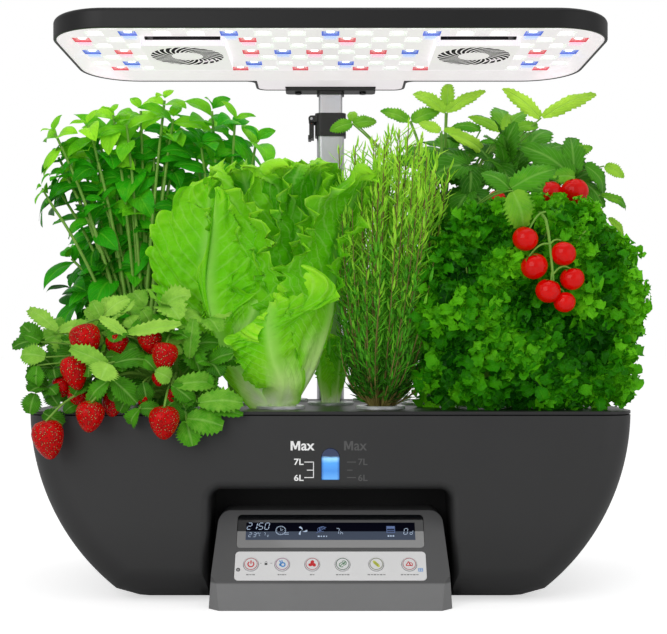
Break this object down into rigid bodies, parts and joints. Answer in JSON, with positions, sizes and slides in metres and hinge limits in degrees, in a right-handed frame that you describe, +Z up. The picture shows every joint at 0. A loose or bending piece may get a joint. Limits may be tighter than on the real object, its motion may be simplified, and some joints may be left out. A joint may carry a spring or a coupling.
{
  "type": "countertop hydroponic garden",
  "caption": "Boat-shaped water tank with net pots of herbs, salad and fruit, a front control unit with buttons and display, and a full-width grow lamp on a telescopic pole.",
  "frame": {"origin": "on the surface the garden stands on, under the middle of its length and depth", "axes": "+X to the right, +Y to the back, +Z up; the control unit faces -Y"},
  "size_m": [0.449, 0.248, 0.4359],
  "materials": {
    "tank_black": "satin",
    "deck_black": "satin",
    "lid_black": "satin",
    "window_clear": "gloss",
    "foot_rubber": "matte",
    "socket_black": "satin",
    "tube_aluminium": "satin",
    "clamp_black": "satin",
    "pin_steel": "satin",
    "screw_black": "satin",
    "lamp_black": "satin",
    "lamp_white": "satin",
    "board_white": "satin",
    "led_white": "gloss",
    "led_red": "gloss",
    "led_blue": "gloss",
    "fan_dark": "satin",
    "rotor_grey": "satin",
    "control_grey": "satin",
    "control_dark": "satin",
    "display_glass": "gloss",
    "lcd_black": "gloss",
    "plate_white": "satin",
    "button_white": "satin",
    "board_green": "satin",
    "pump_black": "satin",
    "impeller_white": "satin",
    "riser_clear": "satin",
    "cup_grey": "gloss",
    "sponge_brown": "matte",
    "strawberry_leaf": "satin",
    "lettuce_leaf": "satin",
    "rosemary_leaf": "satin",
    "basil_leaf": "satin",
    "parsley_leaf": "satin",
    "tomato_leaf": "satin"
  },
  "bodies": {
    "base": {"tank": "tank_black", "water_window": "window_clear", "deck": "deck_black", "tank_feet": "foot_rubber", "pole_socket": "socket_black", "outer_tube": "tube_aluminium", "clamp_collar": "clamp_black", "lever_pin": "pin_steel", "control_housing": "control_grey", "control_base": "control_dark", "display_glass": "display_glass", "lcd_panel": "lcd_black", "button_plate": "plate_white", "control_board": "board_green", "pump_body": "pump_black", "riser_tube": "riser_clear", "power_socket": "socket_black", "net_cups": "cup_grey", "grow_sponges": "sponge_brown", "basil": "basil_leaf", "parsley": "parsley_leaf", "tomato_plant": "tomato_leaf"},
    "light": {"inner_tube": "tube_aluminium", "light_bracket": "clamp_black", "bracket_screws": "screw_black", "light_housing": "lamp_black", "light_frame": "lamp_white", "led_board": "board_white", "leds_white": "led_white", "leds_red": "led_red", "leds_blue": "led_blue", "fan_cover_left": "lamp_white", "fan_cover_right": "lamp_white", "fan_frame_left": "fan_dark", "fan_frame_right": "fan_dark"},
    "fan_left": {"fan_rotor_left": "rotor_grey"},
    "fan_right": {"fan_rotor_right": "rotor_grey"},
    "lever": {"clamp_lever": "clamp_black"},
    "lid": {"fill_lid": "lid_black"},
    "impeller": {"pump_impeller": "impeller_white"},
    "button_power": {"button_power": "button_white"},
    "button_water": {"button_water": "button_white"},
    "button_fan": {"button_fan": "button_white"},
    "button_vegetable": {"button_vegetable": "button_white"},
    "button_flower": {"button_flower": "button_white"},
    "button_fruit": {"button_fruit": "button_white"},
    "pod_strawberry": {"net_cup_strawberry": "cup_grey", "sponge_strawberry": "sponge_brown", "strawberry_plant": "strawberry_leaf"},
    "pod_lettuce": {"net_cup_lettuce": "cup_grey", "sponge_lettuce": "sponge_brown", "lettuce": "lettuce_leaf"},
    "pod_rosemary": {"net_cup_rosemary": "cup_grey", "sponge_rosemary": "sponge_brown", "rosemary": "rosemary_leaf"},
    "pod_baby_lettuce": {"net_cup_baby_lettuce": "cup_grey", "sponge_baby_lettuce": "sponge_brown", "baby_lettuce": "lettuce_leaf"}
  },
  "joints": [
    {"name": "light_height", "type": "slide", "parent": "base", "child": "light", "axis": [0, 0, 1], "range_m": [-0.012, 0.15]},
    {"name": "fan_left_spin", "type": "hinge", "parent": "light", "child": "fan_left", "pos_m": [-0.115, -0.011, 0.4276], "axis": [0, 0, 1], "continuous": true},
    {"name": "fan_right_spin", "type": "hinge", "parent": "light", "child": "fan_right", "pos_m": [0.115, -0.011, 0.4276], "axis": [0, 0, 1], "continuous": true},
    {"name": "clamp_lever_swing", "type": "hinge", "parent": "base", "child": "lever", "pos_m": [-0.0171, 0.1124, 0.3924], "axis": [0, 1, 0], "range_deg": [0, 100]},
    {"name": "fill_lid_hinge", "type": "hinge", "parent": "base", "child": "lid", "pos_m": [0.154, 0.0277, 0.1428], "axis": [-1, 0, 0], "range_deg": [0, 105]},
    {"name": "impeller_spin", "type": "hinge", "parent": "base", "child": "impeller", "pos_m": [-0.097, 0.038, 0.02], "axis": [0, 0, 1], "continuous": true},
    {"name": "button_power_press", "type": "slide", "parent": "base", "child": "button_power", "axis": [0, 0.775, -0.632], "range_m": [0, 0.0005], "stiffness_N_per_m": 400, "springref_m": -0.001},
    {"name": "button_water_press", "type": "slide", "parent": "base", "child": "button_water", "axis": [0, 0.775, -0.632], "range_m": [0, 0.0005], "stiffness_N_per_m": 400, "springref_m": -0.001},
    {"name": "button_fan_press", "type": "slide", "parent": "base", "child": "button_fan", "axis": [0, 0.775, -0.632], "range_m": [0, 0.0005], "stiffness_N_per_m": 400, "springref_m": -0.001},
    {"name": "button_vegetable_press", "type": "slide", "parent": "base", "child": "button_vegetable", "axis": [0, 0.775, -0.632], "range_m": [0, 0.0005], "stiffness_N_per_m": 400, "springref_m": -0.001},
    {"name": "button_flower_press", "type": "slide", "parent": "base", "child": "button_flower", "axis": [0, 0.775, -0.632], "range_m": [0, 0.0005], "stiffness_N_per_m": 400, "springref_m": -0.001},
    {"name": "button_fruit_press", "type": "slide", "parent": "base", "child": "button_fruit", "axis": [0, 0.775, -0.632], "range_m": [0, 0.0005], "stiffness_N_per_m": 400, "springref_m": -0.001},
    {"name": "pod_strawberry_lift", "type": "slide", "parent": "base", "child": "pod_strawberry", "axis": [0, 0, 1], "range_m": [0, 0.042]},
    {"name": "pod_lettuce_lift", "type": "slide", "parent": "base", "child": "pod_lettuce", "axis": [0, 0, 1], "range_m": [0, 0.042]},
    {"name": "pod_rosemary_lift", "type": "slide", "parent": "base", "child": "pod_rosemary", "axis": [0, 0, 1], "range_m": [0, 0.042]},
    {"name": "pod_baby_lettuce_lift", "type": "slide", "parent": "base", "child": "pod_baby_lettuce", "axis": [0, 0, 1], "range_m": [0, 0.042]}
  ]
}
